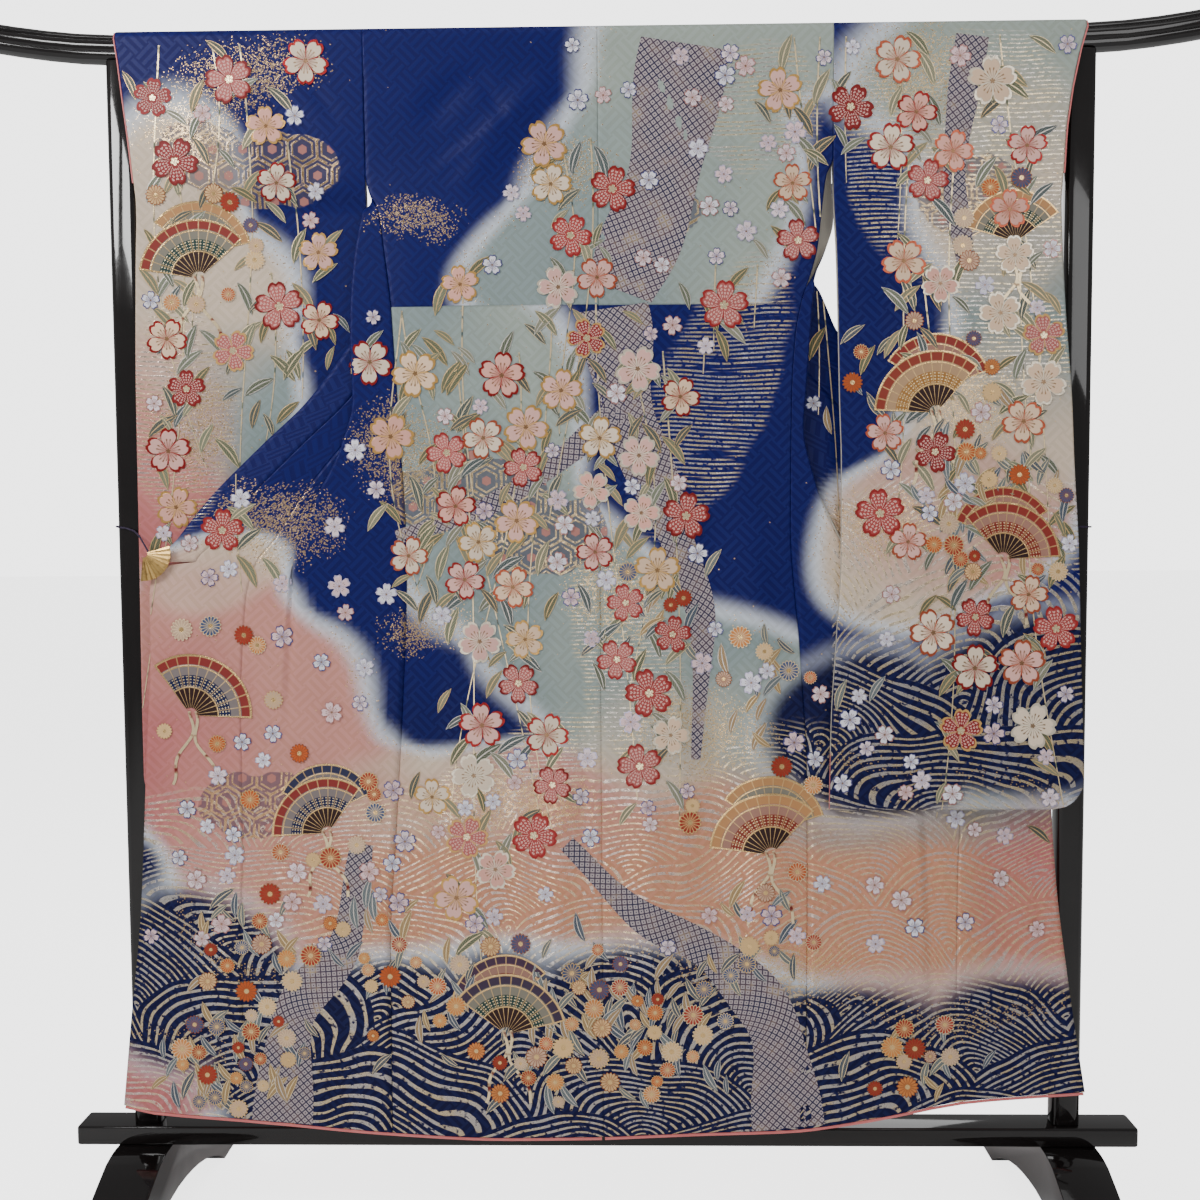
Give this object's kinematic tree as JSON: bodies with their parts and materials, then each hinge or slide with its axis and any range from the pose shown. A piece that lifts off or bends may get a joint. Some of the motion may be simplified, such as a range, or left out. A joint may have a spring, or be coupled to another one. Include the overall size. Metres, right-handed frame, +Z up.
{
  "type": "furisode kimono on a kimono stand",
  "caption": "Long-sleeved silk kimono hung back outward over the rail of a black lacquered kimono stand, its fronts clipped open to the posts.",
  "frame": {"origin": "on the floor, under the middle of the stand", "axes": "+X along the rail, to the right of someone who looks at the kimono's back, +Y away from them, +Z up"},
  "size_m": [1.9, 0.524, 1.7894],
  "materials": {
    "silk": "patterned dyed silk with a soft sheen",
    "overlap": "patterned dyed silk with a soft sheen",
    "sleeve": "patterned dyed silk with a soft sheen",
    "collar": "patterned dyed silk with a soft sheen",
    "edging": "plain pink silk",
    "lacquer": "polished black lacquer",
    "gilt": "gilded",
    "cord": "matt braided silk"
  },
  "bodies": {
    "root": {"rail": "lacquer", "plank": "lacquer", "post_left": "lacquer", "post_right": "lacquer", "foot_left": "lacquer", "foot_right": "lacquer", "collar": "collar", "back_left": "silk", "back_right": "silk", "front_left": "silk", "front_right": "silk", "okumi_left": "overlap", "okumi_right": "overlap", "sleeve_left": "sleeve", "sleeve_right": "sleeve", "hem_edge_left": "edging", "hem_edge_right": "edging", "cuff_edge_left": "edging", "cuff_edge_right": "edging", "clip_fan": "gilt", "clip_jaw_left": "gilt", "clip_jaw_right": "gilt", "clip_cord_left": "cord", "clip_cord_right": "cord"}
  },
  "joints": []
}
